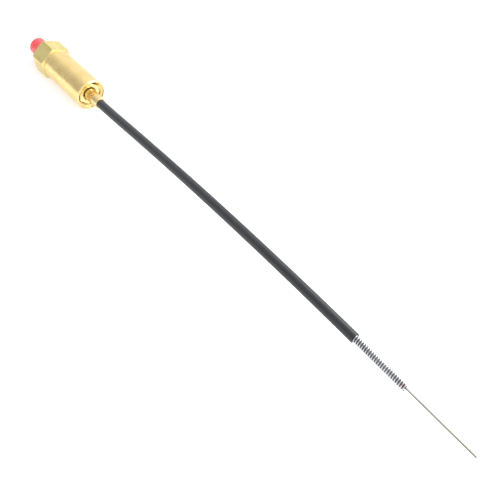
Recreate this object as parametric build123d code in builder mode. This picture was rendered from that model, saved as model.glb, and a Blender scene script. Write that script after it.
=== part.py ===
from build123d import *
import math
import os

# Flame sensor probe with a threaded brass head, in millimetres.
# X runs along the head's axis from the rear stub to the sensing tip, and Z is up.
# The origin is the centre of the hexagon's rear seat face.

os.makedirs("parts", exist_ok=True)

# Head
hex_across_flats = 16.0
hex_length = 10.0
hex_chamfer_angle = 30.0
hex_face_land = 0.1
hexagon_sides = 6
barrel_step = 0.2
barrel_length = 31.7
rim_chamfer = 0.4
stub_thread_diameter = 8.0
stub_thread_pitch = 1.0
stub_length = 8.8
stub_bore_diameter = 5.0
stub_relief_length = 1.6
stub_end_chamfer = 0.6
seat_relief_width = 0.9
seat_relief_depth = 0.5
back_wall = 5.0
chamber_shoulder = 0.5
collar_room_step = 0.5
collar_room_length = 3.8
mouth_wall = 0.8
mouth_thread_pitch = 1.5
mouth_thread_length = 8.3
mouth_relief_length = 1.4
mouth_relief_depth = 0.12
mouth_chamfer = 0.7
mouth_counterbore_depth = 0.8

# Gland nut in the mouth
nut_recess = 1.6
nut_corner_gap = 0.15
nut_corner_trim = 0.3
nut_hex_length = 3.1
nut_hex_turn = -18.0
nut_chamfer = 0.35
nut_counterbore_gap = 0.55
nut_counterbore_land = 0.85
nut_bore_clearance = 0.08
seal_section = 1.0
seal_groove_length = 1.3
seal_groove_offset = 0.5

# Stem
sheath_diameter = 4.4
sheath_wall = 0.4
sheath_visible_length = 174.6
sheath_grip = 19.0
ferrule_wall = 0.88
ferrule_tip_wall = 0.58
ferrule_reach = 8.3
ferrule_taper_length = 4.0
ferrule_tip_round = 0.25
ferrule_tail = 4.6
collar_gap = 0.4
collar_length = 2.1
stem_lift_angle = 2.0
stem_lift_length = 15.0
stem_drop_angle = 4.1

# Guard spring, seal and sensor wire at the tip
spring_gap = 0.1
spring_wire = 0.62
spring_pitch = 1.07
spring_visible_length = 26.6
spring_hidden_length = 12.0
seal_plug_length = 1.3
seal_plug_setback = 0.5
sensor_diameter = 0.85
sensor_wall = 0.2
sensor_visible_length = 33.0
sensor_end_wall = 0.4
transition_gap = 0.3
transition_length = 9.0
transition_lead_depth = 3.5
transition_sensor_depth = 4.0
transition_chamfer = 0.3

# Leads inside the sheath
lead_diameter = 0.5
lead_insulation_diameter = 1.1
lead_gap = 0.4
lead_strip = 1.5

# Spring-loaded contact in the stub
bush_wall = 0.9
button_protrusion = 1.0
button_dome = 0.5
button_flange_margin = 0.2
button_flange_length = 1.0
button_flange_gap = 0.02
spigot_gap = 0.35
spigot_length = 1.4
bush_length = 11.8
contact_spring_wire = 0.4
contact_spring_margin = 0.45
contact_spring_turns = 6
contact_spring_length = 7.0
seat_disc_margin = 0.45
seat_disc_length = 1.0
solder_cup_wall = 0.38
solder_cup_length = 5.0
solder_cup_depth = 2.5

# Carrier, liner and washers in the chamber
liner_wall = 0.35
liner_end_gap = 0.2
carrier_gap = 0.3
carrier_grip = 4.0
carrier_chamfer = 0.5
earth_disc_length = 1.2
thrust_washer_thickness = 0.8
thrust_washer_gap = 0.2
spring_washer_thickness = 0.25
spring_washer_dish = 0.5
washer_gap = 0.05

# Protective cap
cap_wall = 0.55
cap_overhang = 1.9
cap_end_wall = 0.6
cap_end_round = 0.9
cap_edge_gap = 0.2

# Named clearances
snug = 0.02
slide_fit = 0.05
thread_clearance = 0.06
flank_clearance = 0.05
turn_gap = 0.15
cut_past = 0.5

# Thread form with 60 degree flanks; each thread starts away from the seams of the turned shapes
head_thread_turn = 60.0
nut_thread_turn = 240.0
flank_half_angle = 30.0
flank_spread = 2 * math.tan(math.radians(flank_half_angle))
external_depth_share = 0.6134
internal_depth_share = 0.5413
crest_share = 1 / 8

# A hexagon's radius to its flats over its radius to its corners
flat_share = math.cos(math.pi / hexagon_sides)

# Places along X worked out from the sizes
rim_x = hex_length + barrel_length
mouth_start_x = rim_x - mouth_thread_length
mouth_thread_x = mouth_start_x + mouth_relief_length
collar_room_x = mouth_start_x - collar_room_length
stub_end_x = -stub_length
nut_face_x = rim_x - nut_recess
nut_hex_x = nut_face_x - nut_hex_length
nut_back_x = mouth_start_x + washer_gap
thrust_back_x = nut_back_x - washer_gap - thrust_washer_thickness
collar_front_x = thrust_back_x - washer_gap
collar_back_x = collar_front_x - collar_length
ferrule_front_x = rim_x + ferrule_reach
ferrule_back_x = collar_back_x - ferrule_tail
sheath_back_x = ferrule_front_x - sheath_grip
sheath_end_s = ferrule_front_x + sheath_visible_length
lift_end_s = ferrule_front_x + stem_lift_length
stem_drop_length = sheath_end_s - lift_end_s
spring_end_s = sheath_end_s + spring_visible_length
spring_start_s = sheath_end_s - spring_hidden_length
sensor_end_s = spring_end_s + sensor_visible_length
transition_front_s = spring_start_s - washer_gap
transition_back_s = transition_front_s - transition_length
button_face_x = stub_end_x - button_protrusion
bush_front_x = stub_end_x + bush_length
flange_back_x = bush_front_x + button_flange_gap
flange_front_x = flange_back_x + button_flange_length
seat_back_x = flange_front_x + contact_spring_length
carrier_back_x = seat_back_x + seat_disc_length
carrier_front_x = ferrule_back_x + carrier_grip
earth_disc_x = ferrule_back_x + snug

# Radii used by more than one piece
barrel_radius = hex_across_flats / 2 - barrel_step
hex_corner_radius = hex_across_flats / 2 / flat_share
stub_radius = stub_thread_diameter / 2
stub_root_radius = stub_radius - external_depth_share * stub_thread_pitch
stub_bore_radius = stub_bore_diameter / 2
mouth_major_radius = barrel_radius - mouth_wall
mouth_minor_radius = mouth_major_radius - internal_depth_share * mouth_thread_pitch
mouth_relief_radius = mouth_major_radius + mouth_relief_depth
mouth_counterbore_radius = mouth_major_radius + slide_fit
collar_room_radius = mouth_minor_radius - collar_room_step
chamber_radius = collar_room_radius - chamber_shoulder
sheath_radius = sheath_diameter / 2
sheath_bore_radius = sheath_radius - sheath_wall
ferrule_bore_radius = sheath_radius + snug
ferrule_radius = ferrule_bore_radius + ferrule_wall
ferrule_tip_radius = ferrule_bore_radius + ferrule_tip_wall
collar_radius = collar_room_radius - collar_gap
spring_radius = sheath_bore_radius - spring_gap
transition_radius = sheath_bore_radius - transition_gap
spring_inner_radius = spring_radius - spring_wire
sensor_radius = sensor_diameter / 2
sensor_bore_radius = sensor_radius - sensor_wall
lead_radius = lead_diameter / 2
insulation_radius = lead_insulation_diameter / 2
lead_offset = insulation_radius + lead_gap / 2
solder_cup_radius = lead_radius + snug + solder_cup_wall
button_radius = stub_bore_radius - bush_wall
button_flange_radius = stub_bore_radius - button_flange_margin
contact_spring_radius = stub_bore_radius - contact_spring_margin
spigot_radius = contact_spring_radius - contact_spring_wire - spigot_gap
seat_disc_radius = contact_spring_radius + seat_disc_margin
liner_radius = chamber_radius - snug
liner_bore_radius = liner_radius - liner_wall
carrier_radius = liner_bore_radius - carrier_gap


def rectangle_outline(x_from, x_to, r_from, r_to):
    """A closed outline in X and radius, drawn for turning about X."""
    return Polyline((x_from, r_from), (x_to, r_from), (x_to, r_to), (x_from, r_to), close=True)


def stem_state(s):
    """Place and slope of the stem's centre line at length s, which equals X up to the ferrule's end."""
    lift = math.radians(stem_lift_angle)
    drop = math.radians(stem_drop_angle)
    lift_radius = stem_lift_length / lift
    drop_radius = stem_drop_length / drop
    x, z, slope = min(s, ferrule_front_x), 0.0, 0.0
    along = s - ferrule_front_x
    if along > 0:
        step = min(along, stem_lift_length)
        slope = step / lift_radius
        x += lift_radius * math.sin(slope)
        z += lift_radius * (1 - math.cos(slope))
        along -= step
    if along > 0:
        step = min(along, stem_drop_length)
        turned = slope - step / drop_radius
        x += drop_radius * (math.sin(slope) - math.sin(turned))
        z += drop_radius * (math.cos(turned) - math.cos(slope))
        slope = turned
        along -= step
    if along > 0:
        x += along * math.cos(slope)
        z += along * math.sin(slope)
    return x, z, slope


def stem_plane(s):
    """The plane across the stem at length s, with its own X axis along +Y."""
    x, z, slope = stem_state(s)
    return Plane(origin=(x, 0, z), x_dir=(0, 1, 0), z_dir=(math.cos(slope), 0, math.sin(slope)))


def stem_route(s_from, s_to):
    """The centre line from one length to another: lines and the two arcs that meet them smoothly."""
    marks = [s_from]
    for joint in (ferrule_front_x, lift_end_s, sheath_end_s):
        if s_from < joint < s_to:
            marks.append(joint)
    marks.append(s_to)
    with BuildLine() as route:
        for start, end in zip(marks[:-1], marks[1:]):
            x_a, z_a, slope_a = stem_state(start)
            x_m, z_m, _ = stem_state((start + end) / 2)
            x_b, z_b, slope_b = stem_state(end)
            if math.isclose(slope_a, slope_b):
                Line((x_a, 0, z_a), (x_b, 0, z_b))
            else:
                ThreePointArc((x_a, 0, z_a), (x_m, 0, z_m), (x_b, 0, z_b))
    return route.wire()


def thread_tool(x_from, x_to, turn, pitch, inner_radius, outer_radius, inner_width, outer_width):
    """A helical bar of trapezoid section about X, for cutting one thread groove."""
    with BuildPart() as tool:
        with BuildLine() as coil:
            Helix(pitch, x_to - x_from, inner_radius, center=(x_from, 0, 0), direction=(1, 0, 0))
        start = coil.line @ 0
        outward = Vector(0, start.Y, start.Z).normalized()
        with BuildSketch(Plane(origin=start, x_dir=outward, z_dir=coil.line % 0)):
            with BuildLine():
                Polyline(
                    (0, -inner_width / 2),
                    (outer_radius - inner_radius, -outer_width / 2),
                    (outer_radius - inner_radius, outer_width / 2),
                    (0, inner_width / 2),
                    close=True,
                )
            make_face()
        sweep(path=coil.line, is_frenet=True)
    return tool.part.rotate(Axis.X, turn)


# Brass head: hexagon, barrel, rear stub and threaded mouth
stub_crest_width = (1 - crest_share) * stub_thread_pitch
stub_cut_radius = stub_radius + thread_clearance
stub_thread = thread_tool(
    stub_end_x - stub_thread_pitch,
    -stub_relief_length + stub_thread_pitch / 4,
    head_thread_turn,
    stub_thread_pitch,
    stub_root_radius,
    stub_cut_radius,
    stub_crest_width - flank_spread * (stub_radius - stub_root_radius),
    stub_crest_width + flank_spread * thread_clearance,
)
mouth_groove_width = crest_share * mouth_thread_pitch
mouth_cut_radius = mouth_minor_radius - thread_clearance
mouth_thread = thread_tool(
    mouth_start_x + mouth_relief_length / 2,
    rim_x - mouth_counterbore_depth + mouth_thread_pitch / 2,
    head_thread_turn,
    mouth_thread_pitch,
    mouth_cut_radius,
    mouth_major_radius,
    mouth_groove_width + flank_spread * (mouth_major_radius - mouth_cut_radius),
    mouth_groove_width,
)

with BuildPart() as threaded_mouth:
    with BuildSketch(Plane.XZ):
        with BuildLine():
            Polyline(
                (mouth_thread_x, mouth_minor_radius),
                (rim_x - mouth_counterbore_depth - mouth_chamfer, mouth_minor_radius),
                (rim_x - mouth_counterbore_depth, mouth_minor_radius + mouth_chamfer),
                (rim_x - mouth_counterbore_depth, mouth_counterbore_radius),
                (rim_x, mouth_counterbore_radius),
                (rim_x, barrel_radius - rim_chamfer),
                (rim_x - rim_chamfer, barrel_radius),
                (mouth_thread_x, barrel_radius),
                close=True,
            )
        make_face()
    revolve(axis=Axis.X)
    add(mouth_thread, mode=Mode.SUBTRACT)

with BuildPart() as head_body:
    with BuildSketch(Plane.YZ):
        RegularPolygon(hex_corner_radius, hexagon_sides)
    extrude(amount=hex_length)
    chamfer_height = hex_corner_radius - barrel_radius - hex_face_land
    chamfer_run = chamfer_height * math.tan(math.radians(hex_chamfer_angle))
    with BuildSketch(Plane.XZ):
        with BuildLine():
            Polyline(
                (0, 0),
                (0, barrel_radius + hex_face_land),
                (chamfer_run, hex_corner_radius),
                (hex_length - chamfer_run, hex_corner_radius),
                (hex_length, barrel_radius + hex_face_land),
                (hex_length, 0),
                close=True,
            )
        make_face()
    revolve(axis=Axis.X, mode=Mode.INTERSECT)
    with BuildSketch(Plane.XZ):
        with BuildLine():
            Polyline(
                (hex_length - cut_past, 0),
                (hex_length - cut_past, barrel_radius),
                (mouth_thread_x, barrel_radius),
                (mouth_thread_x, 0),
                close=True,
            )
        make_face()
        with BuildLine():
            Polyline(
                (stub_end_x, 0),
                (stub_end_x, stub_radius - stub_end_chamfer),
                (stub_end_x + stub_end_chamfer, stub_radius),
                (-stub_relief_length, stub_radius),
                (-stub_relief_length, stub_root_radius),
                (cut_past, stub_root_radius),
                (cut_past, 0),
                close=True,
            )
        make_face()
    revolve(axis=Axis.X)
    with BuildSketch(Plane.XZ):
        with BuildLine():
            rectangle_outline(0, seat_relief_depth, stub_root_radius, stub_radius + seat_relief_width)
        make_face()
    revolve(axis=Axis.X, mode=Mode.SUBTRACT)
    with BuildSketch(Plane.XZ):
        with BuildLine():
            Polyline(
                (stub_end_x - cut_past, 0),
                (stub_end_x - cut_past, stub_bore_radius),
                (back_wall, stub_bore_radius),
                (back_wall, chamber_radius),
                (collar_room_x, chamber_radius),
                (collar_room_x, collar_room_radius),
                (mouth_start_x, collar_room_radius),
                (mouth_start_x, mouth_relief_radius),
                (mouth_thread_x, mouth_relief_radius),
                (mouth_thread_x, 0),
                close=True,
            )
        make_face()
    revolve(axis=Axis.X, mode=Mode.SUBTRACT)
    add(stub_thread, mode=Mode.SUBTRACT)
    add(threaded_mouth.part)
head_body.part.label = "head_body"
export_step(head_body.part, "parts/head_body.step")

# Gland nut: threaded base, hexagon inside the rim, counterbore and a groove for the seal ring
nut_radius = mouth_major_radius - thread_clearance
nut_root_radius = mouth_minor_radius - thread_clearance
nut_crest_width = mouth_groove_width + flank_spread * thread_clearance - 2 * flank_clearance
nut_groove_width = mouth_thread_pitch - nut_crest_width
nut_cut_radius = nut_radius + thread_clearance
nut_thread = thread_tool(
    mouth_start_x + mouth_relief_length / 2 - mouth_thread_pitch / 2,
    nut_hex_x + mouth_thread_pitch,
    nut_thread_turn,
    mouth_thread_pitch,
    nut_root_radius,
    nut_cut_radius,
    nut_groove_width - flank_spread * (nut_radius - nut_root_radius),
    nut_groove_width + flank_spread * thread_clearance,
)
nut_bore_radius = ferrule_radius + nut_bore_clearance
nut_counterbore_radius = ferrule_radius + nut_counterbore_gap
nut_hex_corner_radius = mouth_minor_radius - nut_corner_gap
seal_groove_x = nut_back_x + seal_groove_offset
seal_groove_end_x = seal_groove_x + seal_groove_length
nut_counterbore_x = seal_groove_end_x + nut_counterbore_land
seal_radius = seal_section / 2
seal_centre_radius = ferrule_radius + turn_gap + seal_radius
seal_groove_radius = seal_centre_radius + seal_radius + snug

with BuildPart() as threaded_base:
    with BuildSketch(Plane.XZ):
        with BuildLine():
            rectangle_outline(nut_back_x, nut_hex_x, nut_bore_radius, nut_radius)
        make_face()
    revolve(axis=Axis.X)
    chamfer(threaded_base.edges().filter_by(GeomType.CIRCLE).sort_by(Axis.X)[0:1], nut_chamfer)
    add(nut_thread, mode=Mode.SUBTRACT)

with BuildPart() as gland_nut:
    add(threaded_base.part.rotate(Axis.X, head_thread_turn - nut_thread_turn))
    with BuildSketch(Plane.YZ.offset(nut_hex_x)):
        RegularPolygon(nut_hex_corner_radius, hexagon_sides, rotation=nut_hex_turn)
        Circle(nut_bore_radius, mode=Mode.SUBTRACT)
    extrude(amount=nut_hex_length)
    with BuildSketch(Plane.XZ):
        with BuildLine():
            Polyline(
                (nut_face_x, nut_hex_corner_radius - nut_corner_trim),
                (nut_face_x, nut_hex_corner_radius + cut_past),
                (nut_face_x - (nut_corner_trim + cut_past) / 2, nut_hex_corner_radius + cut_past),
                close=True,
            )
        make_face()
    revolve(axis=Axis.X, mode=Mode.SUBTRACT)
    with BuildSketch(Plane.XZ):
        with BuildLine():
            rectangle_outline(nut_counterbore_x, nut_face_x + cut_past, 0, nut_counterbore_radius)
        make_face()
        with BuildLine():
            rectangle_outline(seal_groove_x, seal_groove_end_x, 0, seal_groove_radius)
        make_face()
    revolve(axis=Axis.X, mode=Mode.SUBTRACT)
gland_nut.part.label = "gland_nut"
export_step(gland_nut.part, "parts/gland_nut.step")

with BuildPart() as seal_ring:
    with BuildSketch(Plane.XZ):
        with Locations((seal_groove_x + seal_groove_length / 2, seal_centre_radius)):
            Circle(seal_radius)
    revolve(axis=Axis.X)
seal_ring.part.label = "seal_ring"
export_step(seal_ring.part, "parts/seal_ring.step")

# Washers each side of the ferrule's collar
with BuildPart() as thrust_washer:
    with BuildSketch(Plane.YZ.offset(thrust_back_x)):
        Circle(collar_room_radius - thrust_washer_gap)
        Circle(ferrule_radius + turn_gap, mode=Mode.SUBTRACT)
    extrude(amount=thrust_washer_thickness)
thrust_washer.part.label = "thrust_washer"
export_step(thrust_washer.part, "parts/thrust_washer.step")

spring_washer_front_x = collar_back_x - washer_gap
spring_washer_back_x = spring_washer_front_x - spring_washer_dish - spring_washer_thickness
spring_washer_inner_radius = ferrule_radius + turn_gap
spring_washer_outer_radius = collar_room_radius - turn_gap
with BuildPart() as spring_washer:
    with BuildSketch(Plane.XZ):
        with BuildLine():
            Polyline(
                (spring_washer_front_x, spring_washer_inner_radius),
                (spring_washer_back_x + spring_washer_thickness, spring_washer_outer_radius),
                (spring_washer_back_x, spring_washer_outer_radius),
                (spring_washer_front_x - spring_washer_thickness, spring_washer_inner_radius),
                close=True,
            )
        make_face()
    revolve(axis=Axis.X)
spring_washer.part.label = "spring_washer"
export_step(spring_washer.part, "parts/spring_washer.step")

# Insulating liner of the head's chamber
with BuildPart() as housing_liner:
    with BuildSketch(Plane.YZ.offset(back_wall + liner_end_gap)):
        Circle(liner_radius)
        Circle(liner_bore_radius, mode=Mode.SUBTRACT)
    extrude(amount=collar_room_x - back_wall - 2 * liner_end_gap)
housing_liner.part.label = "housing_liner"
export_step(housing_liner.part, "parts/housing_liner.step")

# Guide bush in the stub, and the spring-loaded contact that slides in it
bush_bore_radius = button_radius + slide_fit
with BuildPart() as rear_bush:
    with BuildSketch(Plane.YZ.offset(stub_end_x)):
        Circle(stub_bore_radius - snug)
        Circle(bush_bore_radius, mode=Mode.SUBTRACT)
    extrude(amount=bush_length)
rear_bush.part.label = "rear_bush"
export_step(rear_bush.part, "parts/rear_bush.step")

with BuildPart() as contact_button:
    with BuildSketch(Plane.XZ):
        with BuildLine():
            Polyline(
                (button_face_x + button_dome, button_radius),
                (flange_back_x, button_radius),
                (flange_back_x, button_flange_radius),
                (flange_front_x, button_flange_radius),
                (flange_front_x, spigot_radius),
                (flange_front_x + spigot_length, spigot_radius),
                (flange_front_x + spigot_length, 0),
                (button_face_x, 0),
                (button_face_x, button_radius - button_dome),
            )
            RadiusArc(
                (button_face_x, button_radius - button_dome),
                (button_face_x + button_dome, button_radius),
                button_dome,
            )
        make_face()
    revolve(axis=Axis.X)
contact_button.part.label = "contact_button"
export_step(contact_button.part, "parts/contact_button.step")

contact_spring_wire_radius = contact_spring_wire / 2
contact_coil_radius = contact_spring_radius - contact_spring_wire_radius
contact_coil_length = contact_spring_length - contact_spring_wire - 2 * snug
contact_coil_start_x = flange_front_x + snug + contact_spring_wire_radius
with BuildPart() as contact_spring:
    with BuildLine() as contact_coil:
        Helix(
            contact_coil_length / contact_spring_turns,
            contact_coil_length,
            contact_coil_radius,
            center=(contact_coil_start_x, 0, 0),
            direction=(1, 0, 0),
        )
    with BuildSketch(Plane(origin=contact_coil.line @ 0, z_dir=contact_coil.line % 0)):
        Circle(contact_spring_wire_radius)
    sweep(path=contact_coil.line, is_frenet=True)
contact_spring.part.label = "contact_spring"
export_step(contact_spring.part, "parts/contact_spring.step")

# Terminal under the contact spring: a disc with a spigot and an off-centre solder cup
with BuildPart() as terminal:
    with BuildSketch(Plane.YZ.offset(seat_back_x)):
        Circle(seat_disc_radius)
    extrude(amount=seat_disc_length)
    with BuildSketch(Plane.YZ.offset(seat_back_x)):
        Circle(spigot_radius)
    extrude(amount=-spigot_length)
    with BuildSketch(Plane.YZ.offset(carrier_back_x)):
        with Locations((lead_offset, 0)):
            Circle(solder_cup_radius)
    extrude(amount=solder_cup_length)
    with BuildSketch(Plane.YZ.offset(carrier_back_x + solder_cup_length)):
        with Locations((lead_offset, 0)):
            Circle(lead_radius + snug)
    extrude(amount=-solder_cup_depth, mode=Mode.SUBTRACT)
terminal.part.label = "terminal"
export_step(terminal.part, "parts/terminal.step")

# Insulating carrier between the terminal and the ferrule
with BuildPart() as contact_carrier:
    with BuildSketch(Plane.YZ.offset(carrier_back_x)):
        Circle(carrier_radius)
    extrude(amount=carrier_front_x - carrier_back_x)
    chamfer(contact_carrier.edges().filter_by(GeomType.CIRCLE), carrier_chamfer)
    with BuildSketch(Plane.YZ.offset(carrier_back_x)):
        with Locations((lead_offset, 0)):
            Circle(solder_cup_radius + snug)
    extrude(amount=carrier_front_x - carrier_back_x, mode=Mode.SUBTRACT)
    with BuildSketch(Plane.YZ.offset(ferrule_back_x)):
        Circle(ferrule_radius + snug)
    extrude(amount=carrier_grip, mode=Mode.SUBTRACT)
contact_carrier.part.label = "contact_carrier"
export_step(contact_carrier.part, "parts/contact_carrier.step")

# Brass ferrule: tail, collar and the tube that leaves the nut and tapers to the sheath
with BuildPart() as ferrule:
    with BuildSketch(Plane.XZ):
        with BuildLine():
            Polyline(
                (ferrule_front_x, ferrule_bore_radius),
                (ferrule_back_x, ferrule_bore_radius),
                (ferrule_back_x, ferrule_radius),
                (collar_back_x, ferrule_radius),
                (collar_back_x, collar_radius),
                (collar_front_x, collar_radius),
                (collar_front_x, ferrule_radius),
                (ferrule_front_x - ferrule_taper_length, ferrule_radius),
                (ferrule_front_x - ferrule_tip_round, ferrule_tip_radius),
            )
            RadiusArc(
                (ferrule_front_x - ferrule_tip_round, ferrule_tip_radius),
                (ferrule_front_x, ferrule_tip_radius - ferrule_tip_round),
                ferrule_tip_round,
            )
            Line(
                (ferrule_front_x, ferrule_tip_radius - ferrule_tip_round),
                (ferrule_front_x, ferrule_bore_radius),
            )
        make_face()
    revolve(axis=Axis.X)
ferrule.part.label = "ferrule"
export_step(ferrule.part, "parts/ferrule.step")

# Earth disc in the ferrule's tail, on the return lead, and the resin between it and the sheath
with BuildPart() as earth_disc:
    with BuildSketch(Plane.YZ.offset(earth_disc_x)):
        Circle(ferrule_bore_radius - snug)
        with Locations((lead_offset, 0)):
            Circle(insulation_radius + snug, mode=Mode.SUBTRACT)
        with Locations((-lead_offset, 0)):
            Circle(lead_radius + snug, mode=Mode.SUBTRACT)
    extrude(amount=earth_disc_length)
earth_disc.part.label = "earth_disc"
export_step(earth_disc.part, "parts/earth_disc.step")

potting_back_x = earth_disc_x + earth_disc_length + snug
with BuildPart() as potting:
    with BuildSketch(Plane.YZ.offset(potting_back_x)):
        Circle(ferrule_bore_radius - snug)
        with Locations((lead_offset, 0), (-lead_offset, 0)):
            Circle(insulation_radius + snug, mode=Mode.SUBTRACT)
    extrude(amount=sheath_back_x - snug - potting_back_x)
potting.part.label = "potting"
export_step(potting.part, "parts/potting.step")

# Outer sheath of the stem
with BuildPart() as sheath:
    with BuildSketch(stem_plane(sheath_back_x)):
        Circle(sheath_radius)
        Circle(sheath_bore_radius, mode=Mode.SUBTRACT)
    sweep(path=stem_route(sheath_back_x, sheath_end_s))
sheath.part.label = "sheath"
export_step(sheath.part, "parts/sheath.step")

# Leads and their insulation, side by side on the stem's centre line
cup_floor_x = carrier_back_x + solder_cup_length - solder_cup_depth
lead_end_s = transition_back_s + transition_lead_depth - snug
centre_strip_x = carrier_back_x + solder_cup_length + snug
return_strip_x = potting_back_x + snug


def swept_rod(s_from, s_to, outer_radius, bore_radius, offset):
    """A rod or tube along the stem, set off from the centre line along Y."""
    across = stem_plane(s_from)
    with BuildPart() as rod:
        with BuildSketch(across):
            with Locations((offset, 0)):
                Circle(outer_radius)
                if bore_radius > 0:
                    Circle(bore_radius, mode=Mode.SUBTRACT)
        sweep(path=stem_route(s_from, s_to).moved(Location((0, offset, 0))))
    return rod.part


for lead_name, side, lead_back_x, strip_x in (
    ("centre_lead", 1, cup_floor_x + snug, centre_strip_x),
    ("return_lead", -1, earth_disc_x, return_strip_x),
):
    lead = swept_rod(lead_back_x, lead_end_s, lead_radius, 0, side * lead_offset)
    lead.label = lead_name
    export_step(lead, f"parts/{lead_name}.step")
    insulation = swept_rod(
        strip_x,
        transition_back_s - lead_strip,
        insulation_radius,
        lead_radius + snug,
        side * lead_offset,
    )
    insulation.label = f"{lead_name}_insulation"
    export_step(insulation, f"parts/{lead_name}_insulation.step")

# Transition ferrule, where the leads meet the thin sensor wire
with BuildPart() as transition_ferrule:
    with BuildSketch(stem_plane(transition_back_s)):
        Circle(transition_radius)
    extrude(amount=transition_length)
    chamfer(transition_ferrule.edges().filter_by(GeomType.CIRCLE), transition_chamfer)
    with BuildSketch(stem_plane(transition_back_s)):
        with Locations((lead_offset, 0), (-lead_offset, 0)):
            Circle(lead_radius + slide_fit)
    extrude(amount=transition_lead_depth, mode=Mode.SUBTRACT)
    with BuildSketch(stem_plane(transition_back_s).offset(transition_length)):
        Circle(sensor_radius + slide_fit)
    extrude(amount=-transition_sensor_depth, mode=Mode.SUBTRACT)
transition_ferrule.part.label = "transition_ferrule"
export_step(transition_ferrule.part, "parts/transition_ferrule.step")

# Guard spring: an open right-hand coil that slides into the sheath's end
spring_wire_radius = spring_wire / 2
spring_coil_radius = spring_radius - spring_wire_radius
spring_plane = stem_plane(spring_end_s)
spring_coil_length = spring_end_s - spring_start_s - spring_wire
spring_foot = spring_plane.offset(-spring_coil_length - spring_wire_radius)
with BuildPart() as guard_spring:
    with BuildLine() as guard_coil:
        Helix(
            spring_pitch,
            spring_coil_length,
            spring_coil_radius,
            center=spring_foot.origin,
            direction=spring_foot.z_dir,
        )
    with BuildSketch(Plane(origin=guard_coil.line @ 0, z_dir=guard_coil.line % 0)):
        Circle(spring_wire_radius)
    sweep(path=guard_coil.line, is_frenet=True)
guard_spring.part.label = "guard_spring"
export_step(guard_spring.part, "parts/guard_spring.step")

# Seal in the last coils and the sensor wire that leaves it
with BuildPart() as tip_seal:
    with BuildSketch(spring_plane.offset(-seal_plug_setback)):
        Circle(spring_inner_radius - slide_fit)
        Circle(sensor_radius + snug, mode=Mode.SUBTRACT)
    extrude(amount=-seal_plug_length)
tip_seal.part.label = "tip_seal"
export_step(tip_seal.part, "parts/tip_seal.step")

sensor_start_s = transition_front_s - transition_sensor_depth + snug
with BuildPart() as sensor_sheath:
    with BuildSketch(stem_plane(sensor_start_s)):
        Circle(sensor_radius)
        Circle(sensor_bore_radius, mode=Mode.SUBTRACT)
    sweep(path=stem_route(sensor_start_s, sensor_end_s))
    with BuildSketch(stem_plane(sensor_end_s)):
        Circle(sensor_radius)
    extrude(amount=-sensor_end_wall)
sensor_sheath.part.label = "sensor_sheath"
export_step(sensor_sheath.part, "parts/sensor_sheath.step")

core_end_s = sensor_end_s - sensor_end_wall - snug
sensor_core = swept_rod(sensor_start_s, core_end_s, sensor_bore_radius - snug, 0, 0)
sensor_core.label = "sensor_core"
export_step(sensor_core, "parts/sensor_core.step")

# Vinyl cap over the stub
cap_bore_radius = stub_radius + slide_fit
cap_radius = cap_bore_radius + cap_wall
cap_edge_x = seat_relief_depth - cap_edge_gap
cap_back_x = stub_end_x - cap_overhang
with BuildPart() as protective_cap:
    with BuildSketch(Plane.YZ.offset(cap_back_x)):
        Circle(cap_radius)
    extrude(amount=cap_edge_x - cap_back_x)
    fillet(protective_cap.edges().filter_by(GeomType.CIRCLE).sort_by(Axis.X)[0:1], cap_end_round)
    with BuildSketch(Plane.YZ.offset(cap_back_x + cap_end_wall)):
        Circle(cap_bore_radius)
    extrude(amount=cap_edge_x - cap_back_x, mode=Mode.SUBTRACT)
protective_cap.part.label = "protective_cap"
export_step(protective_cap.part, "parts/protective_cap.step")
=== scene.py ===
import math

import bpy
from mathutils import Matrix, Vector


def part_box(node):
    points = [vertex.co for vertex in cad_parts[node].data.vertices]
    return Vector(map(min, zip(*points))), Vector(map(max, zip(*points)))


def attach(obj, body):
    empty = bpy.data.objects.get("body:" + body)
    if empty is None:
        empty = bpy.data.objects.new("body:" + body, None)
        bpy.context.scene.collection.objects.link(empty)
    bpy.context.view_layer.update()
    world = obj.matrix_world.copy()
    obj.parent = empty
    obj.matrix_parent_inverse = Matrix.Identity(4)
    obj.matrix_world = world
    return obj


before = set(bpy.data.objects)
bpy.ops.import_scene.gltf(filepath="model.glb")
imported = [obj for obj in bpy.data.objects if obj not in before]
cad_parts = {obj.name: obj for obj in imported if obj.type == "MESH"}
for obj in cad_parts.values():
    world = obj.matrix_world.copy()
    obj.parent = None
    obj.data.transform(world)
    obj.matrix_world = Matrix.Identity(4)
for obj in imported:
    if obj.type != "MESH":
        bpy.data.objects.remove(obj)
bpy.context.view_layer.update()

# Flame sensor probe: a brass head with a long black sheath, a guard spring and a bare sensor wire.
# Everything is in metres. X runs from the head's rear stub to the sensing tip, and Z is up.

# Camera: where it looks from, how far it leans, and the lens on a 36 mm sensor
VIEW_AZIMUTH = math.radians(33.40)
VIEW_ELEVATION = math.radians(32.32)
VIEW_ROLL = math.radians(23.56)
VIEW_TARGET = Vector((0.16473, 0.0, -0.00317))
VIEW_DISTANCE = 0.30677
LENS_MM = 52.64
SENSOR_MM = 36.0
NEAR_CLIP = 0.01
FAR_CLIP = 20.0

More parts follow.
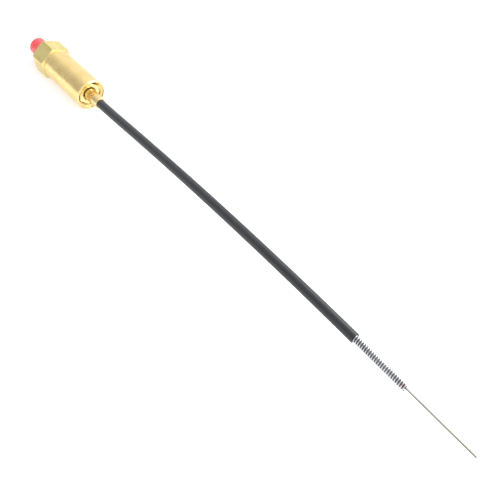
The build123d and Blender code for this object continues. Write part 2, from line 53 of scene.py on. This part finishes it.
# Studio: a white room with one darker side, a grey card near the head, and a soft panel overhead
FLOOR_SIZE = 6.0
FLOOR_GLOW = 0.62
ROOM_LIGHT = 1.12
DARK_SIDE_LIGHT = 0.60
DARK_SIDE = Vector((-0.45, -0.88, 0.05)).normalized()
DARK_SIDE_CORE = math.cos(math.radians(8))
DARK_SIDE_EDGE = math.cos(math.radians(72))
CARD_LIGHT = 0.62
CARD_DISTANCE = 0.032
CARD_TOP = 0.004
CARD_ENDS = (-0.08, 0.06)
CARD_FLOOR_GAP = 0.0005
FLOOR_COLOUR = 0.5
SHEET_ROUGHNESS = 0.8
PANEL_PLACE = Vector((0.25, 0.25, 0.55))
PANEL_TARGET = Vector((0.12, 0.0, 0.0))
PANEL_SIZE = (0.6, 0.5)
PANEL_POWER = 4.0

# Places along the object, taken from the frame
head_low, head_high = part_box("head_body")
spring_tip_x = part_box("guard_spring")[1].x
sheath_tip_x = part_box("sheath")[1].x
stub_back_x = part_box("rear_bush")[0].x

# Sizes that the frame doesn't tell: the hexagon's length, the stub thread's pitch and the spring's wire
HEX_LENGTH = 0.010
STUB_PITCH = 0.001
SPRING_WIRE = 0.00062
AXIS_SAMPLE = 0.0015

# The grey sleeve put inside the guard spring as a stand-in for the shade between its coils
SLEEVE_GAP = 0.00004
SLEEVE_WALL = 0.00025
SLEEVE_HIDDEN = 0.004
SLEEVE_SIDES = 48


def add_object(name, data):
    made = bpy.data.objects.new(name, data)
    bpy.context.scene.collection.objects.link(made)
    return made


def make_camera():
    """The camera, turned about its own line of sight by the roll."""
    flat = math.cos(VIEW_ELEVATION)
    back = Vector((math.sin(VIEW_AZIMUTH) * flat, -math.cos(VIEW_AZIMUTH) * flat, math.sin(VIEW_ELEVATION)))
    data = bpy.data.cameras.new("camera")
    data.lens = LENS_MM
    data.sensor_width = SENSOR_MM
    data.clip_start = NEAR_CLIP
    data.clip_end = FAR_CLIP
    camera = add_object("camera", data)
    camera.rotation_mode = "QUATERNION"
    camera.location = VIEW_TARGET + back * VIEW_DISTANCE
    turned = (-back).to_track_quat("-Z", "Y").to_matrix()
    right, up = turned.col[0], turned.col[1]
    rolled_right = right * math.cos(VIEW_ROLL) + up * math.sin(VIEW_ROLL)
    rolled_up = up * math.cos(VIEW_ROLL) - right * math.sin(VIEW_ROLL)
    turned.col[0], turned.col[1] = rolled_right, rolled_up
    camera.rotation_quaternion = turned.to_quaternion()
    bpy.context.scene.camera = camera


class Nodes:
    """Short calls for building one node tree."""

    def __init__(self, tree):
        self.tree = tree

    def put(self, node, socket, value):
        if isinstance(value, bpy.types.NodeSocket):
            self.tree.links.new(value, node.inputs[socket])
        else:
            node.inputs[socket].default_value = value

    def add(self, kind, inputs=None, **settings):
        node = self.tree.nodes.new(kind)
        for name, value in settings.items():
            setattr(node, name, value)
        for socket, value in (inputs or {}).items():
            self.put(node, socket, value)
        return node

    def math(self, operation, a, b=0.0):
        return self.add("ShaderNodeMath", {0: a, 1: b}, operation=operation).outputs[0]

    def spread(self, value, low, high, to_low=0.0, to_high=1.0, smooth=False):
        kind = "SMOOTHSTEP" if smooth else "LINEAR"
        inputs = {0: value, 1: low, 2: high, 3: to_low, 4: to_high}
        return self.add("ShaderNodeMapRange", inputs, interpolation_type=kind).outputs[0]

    def blend(self, share, a, b):
        node = self.add("ShaderNodeMix", {0: share, 6: a, 7: b}, data_type="RGBA")
        return node.outputs[2]

    def place(self, scale=(1.0, 1.0, 1.0)):
        coordinates = self.add("ShaderNodeTexCoord").outputs["Object"]
        return self.add("ShaderNodeMapping", {"Vector": coordinates, "Scale": scale}).outputs[0]

    def axes(self):
        """X and the distance from the X axis, in metres."""
        x, y, z = self.position()
        return x, self.length(y, z)

    def position(self):
        """X, Y and Z, in metres."""
        coordinates = self.add("ShaderNodeTexCoord").outputs["Object"]
        return self.add("ShaderNodeSeparateXYZ", {0: coordinates}).outputs

    def length(self, a, b):
        squares = self.math("ADD", self.math("MULTIPLY", a, a), self.math("MULTIPLY", b, b))
        return self.math("SQRT", squares)

    def noise(self, vector, scale, detail=3.0, roughness=0.5):
        inputs = {"Vector": vector, "Scale": scale, "Detail": detail, "Roughness": roughness}
        return self.add("ShaderNodeTexNoise", inputs).outputs["Fac"]

    def rings_on_faces(self, radius, scale):
        """Turning marks on an end face, which follow the distance from the X axis."""
        across = self.add("ShaderNodeCombineXYZ", {0: self.math("MULTIPLY", radius, scale)})
        return self.noise(across.outputs[0], 1.0, 2.0, 0.6)

    def bump(self, height, strength, distance, normal=None):
        inputs = {"Height": height, "Strength": strength, "Distance": distance}
        if normal is not None:
            inputs["Normal"] = normal
        return self.add("ShaderNodeBump", inputs).outputs[0]


def make_world():
    """White light from all round, with a darker side towards -X and -Y."""
    world = bpy.data.worlds.new("room")
    bpy.context.scene.world = world
    world.use_nodes = True
    n = Nodes(world.node_tree)
    direction = n.add("ShaderNodeTexCoord").outputs["Generated"]
    product = n.add("ShaderNodeVectorMath", {0: direction, 1: DARK_SIDE}, operation="DOT_PRODUCT")
    facing = product.outputs["Value"]
    light = n.spread(facing, DARK_SIDE_EDGE, DARK_SIDE_CORE, ROOM_LIGHT, DARK_SIDE_LIGHT, smooth=True)
    background = world.node_tree.nodes["Background"]
    n.put(background, "Color", (1.0, 1.0, 1.0, 1.0))
    n.put(background, "Strength", light)


def make_sheet(name, corners, colour, glow):
    """A flat stage sheet with a plain finish."""
    mesh = bpy.data.meshes.new(name)
    mesh.from_pydata(corners, [], [(0, 1, 2, 3)])
    material = bpy.data.materials.new(name)
    material.use_nodes = True
    shader = material.node_tree.nodes["Principled BSDF"]
    shader.inputs["Base Color"].default_value = (colour, colour, colour, 1.0)
    shader.inputs["Roughness"].default_value = SHEET_ROUGHNESS
    shader.inputs["Specular IOR Level"].default_value = 0.0
    shader.inputs["Emission Color"].default_value = (1.0, 1.0, 1.0, 1.0)
    shader.inputs["Emission Strength"].default_value = glow
    mesh.materials.append(material)
    sheet = add_object(name, mesh)
    return sheet


def make_studio():
    """The floor just under the hexagon's lower flat, the card, and the panel."""
    low, half = head_low.z, FLOOR_SIZE / 2
    corners = [(-half, -half, low), (half, -half, low), (half, half, low), (-half, half, low)]
    make_sheet("floor", corners, FLOOR_COLOUR, FLOOR_GLOW)
    start, end = CARD_ENDS
    foot, y = low + CARD_FLOOR_GAP, -CARD_DISTANCE
    corners = [(start, y, foot), (end, y, foot), (end, y, CARD_TOP), (start, y, CARD_TOP)]
    card = make_sheet("grey_card", corners, 0.0, CARD_LIGHT)
    card.visible_camera = False
    card.visible_diffuse = False
    card.visible_shadow = False
    card.visible_transmission = False
    data = bpy.data.lights.new("panel", "AREA")
    data.shape = "RECTANGLE"
    data.size, data.size_y = PANEL_SIZE
    data.energy = PANEL_POWER
    panel = add_object("panel", data)
    panel.location = PANEL_PLACE
    panel.rotation_mode = "QUATERNION"
    panel.rotation_quaternion = (PANEL_TARGET - PANEL_PLACE).to_track_quat("-Z", "Y")


def new_material(name, colour, roughness, **sockets):
    material = bpy.data.materials.new(name)
    material.use_nodes = True
    shader = material.node_tree.nodes["Principled BSDF"]
    shader.inputs["Base Color"].default_value = (*colour, 1.0)
    shader.inputs["Roughness"].default_value = roughness
    for socket, value in sockets.items():
        shader.inputs[socket.replace("_", " ")].default_value = value
    return material, Nodes(material.node_tree), shader


def brass_base(n, light, dark):
    """Tarnish: patches a few millimetres wide, broken up by finer spots."""
    spots = n.noise(n.place(), 900.0, 4.0, 0.65)
    patches = n.noise(n.place(), 160.0, 3.0, 0.5)
    share = n.spread(n.math("ADD", spots, patches), 0.78, 1.22)
    return share, n.blend(share, (*dark, 1.0), (*light, 1.0))


def head_brass():
    """The head: a turned barrel with fine rings, and a greener drawn hexagon with lines along it."""
    material, n, shader = new_material("head_brass", (0.90, 0.72, 0.36), 0.26, Metallic=1.0)
    x, radius = n.axes()
    share, turned = brass_base(n, (0.96, 0.75, 0.36), (0.86, 0.65, 0.28))
    drawn = n.blend(share, (0.80, 0.66, 0.25, 1.0), (0.88, 0.75, 0.34, 1.0))
    barrel = n.spread(x, HEX_LENGTH - 0.0002, HEX_LENGTH + 0.0002)
    n.put(shader, "Base Color", n.blend(barrel, drawn, turned))
    rings = n.noise(n.place((9000.0, 60.0, 60.0)), 1.0, 2.0, 0.6)
    feed = n.noise(n.place((2600.0, 8.0, 8.0)), 1.0, 1.0, 0.5)
    faces = n.rings_on_faces(radius, 7000.0)
    lines = n.noise(n.place((60.0, 5000.0, 5000.0)), 1.0, 2.0, 0.6)
    scratches = n.noise(n.place((300.0, 2500.0, 400.0)), 1.0, 4.0, 0.7)
    rough_turned = n.spread(n.math("ADD", rings, share), 0.6, 1.4, 0.20, 0.34)
    rough_drawn = n.spread(n.math("ADD", lines, share), 0.6, 1.4, 0.26, 0.40)
    n.put(shader, "Roughness", n.spread(barrel, 0.0, 1.0, rough_drawn, rough_turned))
    on_hexagon = n.math("SUBTRACT", 1.0, barrel)
    marks = n.math("ADD", n.math("MULTIPLY", rings, barrel), n.math("MULTIPLY", lines, on_hexagon))
    fine = n.bump(marks, 0.30, 0.000010)
    wide = n.bump(n.math("ADD", feed, faces), 0.12, 0.000012, fine)
    n.put(shader, "Normal", n.bump(scratches, 0.10, 0.000010, wide))
    return material


def turned_brass(name, light, dark, roughness):
    """Small turned brass parts: rings round X and on the faces, with a little tarnish."""
    material, n, shader = new_material(name, light, roughness, Metallic=1.0)
    radius = n.axes()[1]
    share, colour = brass_base(n, light, dark)
    n.put(shader, "Base Color", colour)
    rings = n.noise(n.place((11000.0, 80.0, 80.0)), 1.0, 2.0, 0.6)
    faces = n.rings_on_faces(radius, 9000.0)
    wear = n.math("ADD", rings, share)
    n.put(shader, "Roughness", n.spread(wear, 0.6, 1.4, roughness * 0.8, roughness * 1.3))
    n.put(shader, "Normal", n.bump(faces, 0.10, 0.000010, n.bump(rings, 0.30, 0.000009)))
    return material


def drawn_metal(name, light, dark, roughness, grain):
    """Drawn or plated metal with fine grain and uneven gloss."""
    material, n, shader = new_material(name, light, roughness, Metallic=1.0)
    fine = n.noise(n.place(), grain, 3.0, 0.6)
    broad = n.noise(n.place(), grain / 12, 2.0, 0.5)
    n.put(shader, "Base Color", n.blend(n.spread(broad, 0.35, 0.65), (*dark, 1.0), (*light, 1.0)))
    n.put(shader, "Roughness", n.spread(fine, 0.3, 0.7, roughness * 0.8, roughness * 1.3))
    n.put(shader, "Normal", n.bump(fine, 0.25, 0.000006))
    return material


def spring_axis():
    """Height of the guard spring's axis at its first end, its slope along X, and its coil's mean radius."""
    corners = [v.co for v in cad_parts["guard_spring"].data.vertices]
    start, end = min(v.x for v in corners), max(v.x for v in corners)
    heights = []
    for middle in (start + AXIS_SAMPLE, end - AXIS_SAMPLE):
        near = [v.z for v in corners if abs(v.x - middle) < AXIS_SAMPLE]
        heights.append((min(near) + max(near)) / 2)
    slope = (heights[1] - heights[0]) / (end - start - 2 * AXIS_SAMPLE)
    outer = max(abs(v.y) for v in corners)
    return heights[0] - slope * (start + AXIS_SAMPLE), slope, outer - SPRING_WIRE / 2


def spring_steel():
    """Bright spring wire, with painted shade on the coils' inner faces, which turn near black."""
    material, n, shader = new_material("guard_spring_steel", (0.58, 0.59, 0.62), 0.24, Metallic=1.0)
    height, slope, mean = spring_axis()
    x, y, z = n.position()
    off = n.math("SUBTRACT", z, n.math("ADD", height, n.math("MULTIPLY", x, slope)))
    radius = n.length(y, off)
    # Painted shade: wire nearer the spring's axis than the mean coil radius, on the coils' inner faces,
    # turns near black.
    outer = n.spread(radius, mean - 0.00012, mean + 0.00022, smooth=True)
    broad = n.noise(n.place(), 500.0, 2.0, 0.5)
    fine = n.noise(n.place(), 6000.0, 3.0, 0.6)
    bright = n.blend(n.spread(broad, 0.35, 0.65), (0.46, 0.47, 0.50, 1.0), (0.60, 0.61, 0.64, 1.0))
    n.put(shader, "Base Color", n.blend(outer, (0.09, 0.09, 0.095, 1.0), bright))
    n.put(shader, "Roughness", n.spread(fine, 0.3, 0.7, 0.20, 0.32))
    n.put(shader, "Normal", n.bump(fine, 0.25, 0.000006))
    return material


def sensor_alloy():
    """Bare sensor wire: grey-beige with drawn lines along it, and painted shade, near black, where it runs
    inside the guard spring.
    """
    material, n, shader = new_material("sensor_alloy", (0.44, 0.42, 0.38), 0.40, Metallic=1.0)
    x = n.axes()[0]
    streaks = n.noise(n.place((150.0, 9000.0, 9000.0)), 1.0, 3.0, 0.6)
    heat = n.noise(n.place((120.0, 20.0, 20.0)), 1.0, 3.0, 0.6)
    # Painted shade: the wire turns near black where it runs inside the guard spring, fading out at the
    # spring's tip.
    outside = n.spread(x, spring_tip_x - 0.0015, spring_tip_x + 0.0005)
    bare = n.blend(n.spread(heat, 0.35, 0.65), (0.25, 0.235, 0.21, 1.0), (0.34, 0.325, 0.295, 1.0))
    n.put(shader, "Base Color", n.blend(outside, (0.10, 0.10, 0.10, 1.0), bare))
    n.put(shader, "Roughness", n.spread(streaks, 0.3, 0.7, 0.32, 0.50))
    n.put(shader, "Normal", n.bump(streaks, 0.25, 0.000006))
    return material


def make_shade_sleeve(material):
    """A grey sleeve inside the guard spring that stands in for the shade between its coils, from inside the
    stem to the red seal.
    """
    height, slope, mean = spring_axis()
    radius = mean - SPRING_WIRE / 2 - SLEEVE_GAP
    inner = radius - SLEEVE_WALL
    start, end = sheath_tip_x - SLEEVE_HIDDEN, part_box("tip_seal")[0].x
    mesh = bpy.data.meshes.new("shade_sleeve")
    points = []
    for x, size in ((start, radius), (end, radius), (end, inner), (start, inner)):
        for step in range(SLEEVE_SIDES):
            turn = 2 * math.pi * step / SLEEVE_SIDES
            points.append((x, size * math.cos(turn), height + slope * x + size * math.sin(turn)))
    faces = []
    for ring in range(4):
        following = (ring + 1) % 4
        for step in range(SLEEVE_SIDES):
            beside = (step + 1) % SLEEVE_SIDES
            corners = (ring * SLEEVE_SIDES + step, following * SLEEVE_SIDES + step)
            faces.append((*corners, following * SLEEVE_SIDES + beside, ring * SLEEVE_SIDES + beside))
    mesh.from_pydata(points, [], faces)
    mesh.polygons.foreach_set("use_smooth", [True] * len(mesh.polygons))
    mesh.materials.append(material)
    sleeve = add_object("shade_sleeve", mesh)
    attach(sleeve, "stem")


def black_sleeve():
    """Extruded black sleeve: satin, faintly pebbled, drawn streaks along it, a little dust and scuffing."""
    material, n, shader = new_material("black_sleeve", (0.024, 0.026, 0.031), 0.38)
    pebble = n.noise(n.place(), 4500.0, 4.0, 0.6)
    streaks = n.noise(n.place((60.0, 1800.0, 1800.0)), 1.0, 3.0, 0.6)
    scuffs = n.noise(n.place((220.0, 700.0, 700.0)), 1.0, 5.0, 0.7)
    x = n.axes()[0]
    near = n.blend(n.spread(streaks, 0.3, 0.7), (0.030, 0.032, 0.039, 1.0), (0.038, 0.040, 0.048, 1.0))
    far = n.blend(n.spread(streaks, 0.3, 0.7), (0.012, 0.0135, 0.0165, 1.0), (0.018, 0.020, 0.024, 1.0))
    # The sleeve's colour runs darker from the head towards the tip.
    along = n.spread(x, head_high.x, sheath_tip_x)
    dust = n.spread(scuffs, 0.62, 0.80, 0.0, 0.35)
    dusty = n.blend(dust, n.blend(along, near, far), (0.09, 0.09, 0.095, 1.0))
    n.put(shader, "Base Color", dusty)
    n.put(shader, "Roughness", n.spread(n.math("ADD", streaks, scuffs), 0.7, 1.3, 0.33, 0.46))
    n.put(shader, "Normal", n.bump(streaks, 0.15, 0.00002, n.bump(pebble, 0.22, 0.00001)))
    return material


def red_vinyl():
    """Dip-moulded red vinyl: translucent, glossy, with the stub's thread showing faintly through."""
    sockets = {"Subsurface_Weight": 0.35, "Subsurface_Scale": 0.0015}
    material, n, shader = new_material("red_vinyl", (1.0, 0.10, 0.085), 0.28, **sockets)
    x = n.axes()[0]
    over_stub = n.spread(x, stub_back_x - 0.0004, stub_back_x + 0.0002)
    wave = n.math("SINE", n.math("MULTIPLY", x, 2 * math.pi / STUB_PITCH))
    ridges = n.math("MULTIPLY", wave, over_stub)
    cloud = n.noise(n.place(), 420.0, 3.0, 0.55)
    dark = n.spread(n.math("ADD", n.math("MULTIPLY", ridges, 0.25), cloud), 0.25, 0.85)
    n.put(shader, "Base Color", n.blend(dark, (0.86, 0.075, 0.085, 1.0), (0.98, 0.15, 0.15, 1.0)))
    n.put(shader, "Roughness", n.spread(cloud, 0.3, 0.7, 0.22, 0.36))
    n.put(shader, "Normal", n.bump(cloud, 0.2, 0.00006, n.bump(ridges, 0.35, 0.00005)))
    return material


def soft_plastic(name, light, dark, roughness, grain, **sockets):
    """Moulded or extruded plastic or rubber with a fine pebble and slight colour drift."""
    material, n, shader = new_material(name, light, roughness, **sockets)
    fine = n.noise(n.place(), grain, 4.0, 0.6)
    broad = n.noise(n.place(), 400.0, 3.0, 0.5)
    n.put(shader, "Base Color", n.blend(n.spread(broad, 0.35, 0.65), (*dark, 1.0), (*light, 1.0)))
    n.put(shader, "Roughness", n.spread(broad, 0.3, 0.7, roughness * 0.85, roughness * 1.15))
    n.put(shader, "Normal", n.bump(fine, 0.25, 0.00001))
    return material


def finish_nodes():
    """A material for each CAD node."""
    steel = drawn_metal("spring_steel", (0.66, 0.67, 0.70), (0.48, 0.49, 0.52), 0.26, 6000.0)
    plating = drawn_metal("contact_plating", (0.85, 0.84, 0.80), (0.74, 0.72, 0.68), 0.22, 5000.0)
    copper = drawn_metal("copper", (0.93, 0.55, 0.38), (0.80, 0.42, 0.27), 0.30, 6000.0)
    white = soft_plastic("white_insulator", (0.82, 0.80, 0.76), (0.76, 0.74, 0.69), 0.45, 4000.0)
    resin = soft_plastic("resin", (0.30, 0.16, 0.06), (0.22, 0.11, 0.04), 0.35, 3000.0)
    rubber = soft_plastic("seal_rubber", (0.020, 0.020, 0.021), (0.012, 0.012, 0.013), 0.55, 5000.0)
    red_seal = soft_plastic("red_seal", (0.24, 0.014, 0.026), (0.14, 0.008, 0.014), 0.42, 5000.0)
    red_lead = soft_plastic("red_insulation", (0.60, 0.03, 0.03), (0.50, 0.02, 0.02), 0.40, 5000.0)
    finishes = {
        "head_body": head_brass(),
        "gland_nut": turned_brass("nut_brass", (0.93, 0.76, 0.38), (0.80, 0.60, 0.26), 0.20),
        "ferrule": turned_brass("ferrule_brass", (0.93, 0.76, 0.42), (0.84, 0.65, 0.31), 0.30),
        "sheath": black_sleeve(),
        "guard_spring": spring_steel(),
        "sensor_sheath": sensor_alloy(),
        "sensor_core": white,
        "contact_button": plating,
        "contact_spring": steel,
        "terminal": plating,
        "earth_disc": plating,
        "spring_washer": steel,
        "thrust_washer": white,
        "housing_liner": white,
        "rear_bush": white,
        "contact_carrier": white,
        "potting": resin,
        "seal_ring": rubber,
        "tip_seal": red_seal,
        "centre_lead": copper,
        "return_lead": copper,
        "centre_lead_insulation": red_lead,
        "return_lead_insulation": white,
        "transition_ferrule": plating,
        "protective_cap": red_vinyl(),
    }
    for name, material in finishes.items():
        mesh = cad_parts[name].data
        mesh.materials.clear()
        mesh.materials.append(material)


make_camera()
make_world()
make_studio()
finish_nodes()
# A dull grey for the sleeve that stands in for the shade inside the guard spring.
shade_grey_sleeve = soft_plastic("shade_grey_sleeve", (0.19, 0.19, 0.195), (0.13, 0.13, 0.135), 0.40, 5000.0)
make_shade_sleeve(shade_grey_sleeve)
bpy.context.scene.view_settings.view_transform = "Standard"
